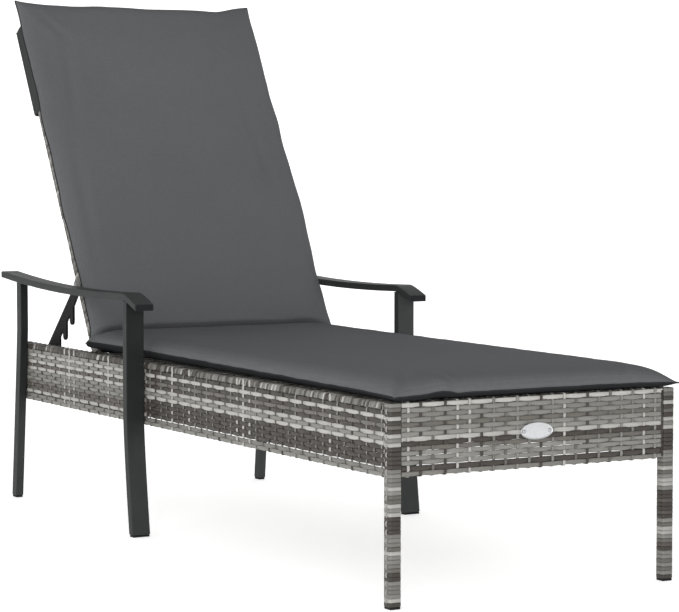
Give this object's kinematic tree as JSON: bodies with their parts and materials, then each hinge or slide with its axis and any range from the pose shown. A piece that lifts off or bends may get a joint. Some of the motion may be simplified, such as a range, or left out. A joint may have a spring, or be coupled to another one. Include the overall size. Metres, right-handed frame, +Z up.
{
  "type": "reclining sun lounger",
  "caption": "Rattan-wrapped garden lounger bed with flat metal armrest frames, a hinged backrest on a notched strut and a thin fold-over cushion.",
  "frame": {"origin": "on the floor, at the centre of the lounger's bounding box with the backrest raised", "axes": "+Y towards the head end, +X to the right when standing at the foot end and looking at the backrest, +Z up"},
  "size_m": [0.663, 1.634, 1.082],
  "materials": {
    "woven_rattan": "flat grey synthetic rattan strands in light, middle and dark tones, basket woven",
    "rattan_wrap": "synthetic rattan strand wound round a steel tube",
    "frame_steel": "black powder coat, fine grain",
    "armrest_coating": "anthracite powder coat, satin",
    "zinc_fitting": "zinc plated steel",
    "glide_plastic": "black moulded plastic",
    "cushion_cloth": "anthracite woven polyester over a thin filling",
    "hood_cloth": "dark woven polyester, single layer",
    "badge_metal": "blank satin plate"
  },
  "bodies": {
    "bed": {"foot_leg_left": "rattan_wrap", "foot_leg_right": "rattan_wrap", "glide_foot_left": "glide_plastic", "glide_foot_right": "glide_plastic", "head_post_left": "rattan_wrap", "head_post_right": "rattan_wrap", "apron_left": "woven_rattan", "apron_right": "woven_rattan", "apron_foot": "woven_rattan", "side_rail_top_left": "frame_steel", "side_rail_top_right": "frame_steel", "side_rail_bottom_left": "frame_steel", "side_rail_bottom_right": "frame_steel", "foot_rail_top": "frame_steel", "foot_rail_bottom": "frame_steel", "seat_bar_1": "frame_steel", "seat_bar_2": "frame_steel", "seat_end_rail": "rattan_wrap", "head_rail": "rattan_wrap", "seat_deck": "woven_rattan", "armrest_left": "armrest_coating", "armrest_right": "armrest_coating", "mid_leg_left": "armrest_coating", "mid_leg_right": "armrest_coating", "glide_mid_left": "glide_plastic", "glide_mid_right": "glide_plastic", "rear_leg_left": "armrest_coating", "rear_leg_right": "armrest_coating", "glide_rear_left": "glide_plastic", "glide_rear_right": "glide_plastic", "hinge_lug_left": "frame_steel", "hinge_lug_right": "frame_steel", "hinge_pin_left": "zinc_fitting", "hinge_pin_right": "zinc_fitting", "catch_plate_left": "frame_steel", "catch_plate_right": "frame_steel", "notch_peg_left": "zinc_fitting", "notch_peg_right": "zinc_fitting", "badge": "badge_metal", "badge_rivet_left": "zinc_fitting", "badge_rivet_right": "zinc_fitting", "seat_pad": "cushion_cloth"},
    "backrest": {"back_stile_left": "rattan_wrap", "back_stile_right": "rattan_wrap", "back_rail_bottom": "frame_steel", "back_rail_middle": "frame_steel", "back_rail_top": "frame_steel", "back_weave": "woven_rattan", "cushion_hood": "hood_cloth", "back_pad": "cushion_cloth", "strut_ear_left": "frame_steel", "strut_ear_right": "frame_steel", "strut_pin_left": "zinc_fitting", "strut_pin_right": "zinc_fitting"},
    "strut": {"strut_plate_left": "frame_steel", "strut_plate_right": "frame_steel", "strut_tie": "frame_steel"}
  },
  "joints": [
    {"name": "recline", "type": "hinge", "parent": "bed", "child": "backrest", "pos_m": [0, 0.41697, 0.327], "axis": [1, 0, 0], "range_deg": [-61, 0]},
    {"name": "strut_swing", "type": "hinge", "parent": "backrest", "child": "strut", "pos_m": [0, 0.5309, 0.47479], "axis": [1, 0, 0], "range_deg": [0, 100.1]}
  ],
  "couplings": [
    {"joint": "strut_swing", "follows": "recline", "ratio": -1.64}
  ]
}
